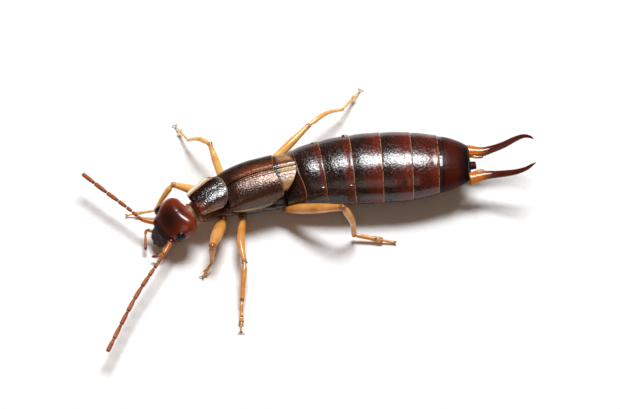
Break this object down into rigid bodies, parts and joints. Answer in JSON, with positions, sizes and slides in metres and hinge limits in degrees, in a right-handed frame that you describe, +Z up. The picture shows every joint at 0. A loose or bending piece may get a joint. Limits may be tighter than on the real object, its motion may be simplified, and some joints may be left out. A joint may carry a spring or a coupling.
{
  "type": "european earwig",
  "caption": "Life-size still model of a female earwig walking: folded wing covers, ringed abdomen, jointed feelers and curved forceps at the tail.",
  "frame": {"origin": "on the floor under the middle of the box round the animal, feelers, legs and forceps included", "axes": "+X from the head towards the forceps, +Y to the animal's right, +Z up from the floor the feet stand on"},
  "size_m": [0.0194, 0.0122, 0.0024],
  "materials": {
    "head": "gloss",
    "eyes": "satin",
    "mouthparts": "satin",
    "antennae": "satin",
    "neck": "satin",
    "pronotum": "satin",
    "wing_covers": "satin",
    "wing_tips": "satin",
    "thorax": "satin",
    "abdomen": "satin",
    "forceps": "gloss",
    "legs": "satin"
  },
  "bodies": {
    "root": {"head": "head", "left_eye": "eyes", "right_eye": "eyes", "mouthparts": "mouthparts", "pronotum": "pronotum", "left_wing_cover": "wing_covers", "left_wing_tip": "wing_tips", "right_wing_cover": "wing_covers", "right_wing_tip": "wing_tips", "left_fore_coxa": "legs", "left_fore_femur": "legs", "left_fore_tibia": "legs", "left_fore_tarsus": "legs", "left_middle_coxa": "legs", "left_middle_femur": "legs", "left_middle_tibia": "legs", "left_middle_tarsus": "legs", "left_hind_coxa": "legs", "left_hind_femur": "legs", "left_hind_tibia": "legs", "left_hind_tarsus": "legs", "right_fore_coxa": "legs", "right_fore_femur": "legs", "right_fore_tibia": "legs", "right_fore_tarsus": "legs", "right_middle_coxa": "legs", "right_middle_femur": "legs", "right_middle_tibia": "legs", "right_middle_tarsus": "legs", "right_hind_coxa": "legs", "right_hind_femur": "legs", "right_hind_tibia": "legs", "right_hind_tarsus": "legs", "neck": "neck", "prothorax": "thorax", "pterothorax": "thorax", "abdomen_ring_1": "abdomen", "abdomen_ring_2": "abdomen", "abdomen_ring_3": "abdomen", "abdomen_ring_4": "abdomen", "abdomen_ring_5": "abdomen", "abdomen_ring_6": "abdomen", "abdomen_last_ring": "abdomen", "left_antenna_scape": "antennae", "left_antenna_base": "antennae", "left_antenna_tip": "antennae", "left_palp": "legs", "right_antenna_scape": "antennae", "right_antenna_base": "antennae", "right_antenna_tip": "antennae", "right_palp": "legs", "left_forceps_branch": "forceps", "right_forceps_branch": "forceps", "pygidium": "forceps"}
  },
  "joints": []
}
